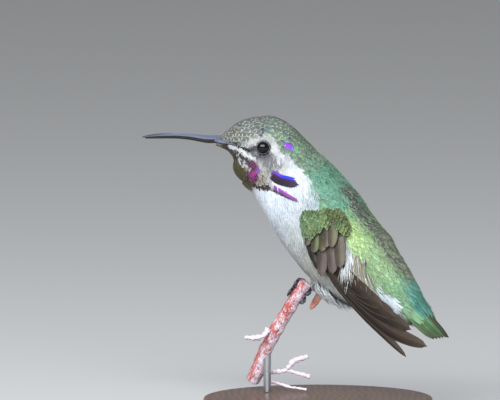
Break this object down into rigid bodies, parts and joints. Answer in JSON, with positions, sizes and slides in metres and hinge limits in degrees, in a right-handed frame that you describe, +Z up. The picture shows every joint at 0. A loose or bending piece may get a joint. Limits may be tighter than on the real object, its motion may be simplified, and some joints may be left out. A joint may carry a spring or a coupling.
{
  "type": "hummingbird",
  "caption": "Life-size perched young male hummingbird, head level and body sloping to the tail, gripping a short cut twig that a rod holds over a round flat base.",
  "frame": {"origin": "centre of the underside of the display base, on the surface it stands on", "axes": "+Z up, the bill points to -X, and the bird's left side, which is the side shown, faces -Y"},
  "size_m": [0.0713, 0.054, 0.0698],
  "materials": {
    "green_feathers": "soft overlapping feathers, metallic green on the back",
    "pale_feathers": "soft matt white feathers",
    "flight_feathers": "smooth dark brown vanes",
    "bill_horn": "black horn with a soft shine",
    "eye_gloss": "wet black gloss",
    "foot_skin": "dark grey scaled skin",
    "twig_bark": "rough reddish bark with pale flakes",
    "stand_wood": "dark satin wood",
    "stand_steel": "brushed"
  },
  "bodies": {
    "root": {"head": "green_feathers", "neck": "pale_feathers", "trunk": "green_feathers", "rump": "green_feathers", "tail": "flight_feathers", "wing_left_arm": "green_feathers", "wing_left_primaries": "flight_feathers", "wing_right_arm": "green_feathers", "wing_right_primaries": "flight_feathers", "eye_left": "eye_gloss", "eye_right": "eye_gloss", "bill_upper": "bill_horn", "bill_lower": "bill_horn", "leg_left": "foot_skin", "leg_right": "foot_skin", "foot_left": "foot_skin", "foot_right": "foot_skin", "perch_twig": "twig_bark", "perch_spur_left": "twig_bark", "perch_spur_right": "twig_bark", "perch_spur_low": "twig_bark", "perch_bud": "twig_bark", "stand_base": "stand_wood", "stand_rod": "stand_steel"}
  },
  "joints": []
}
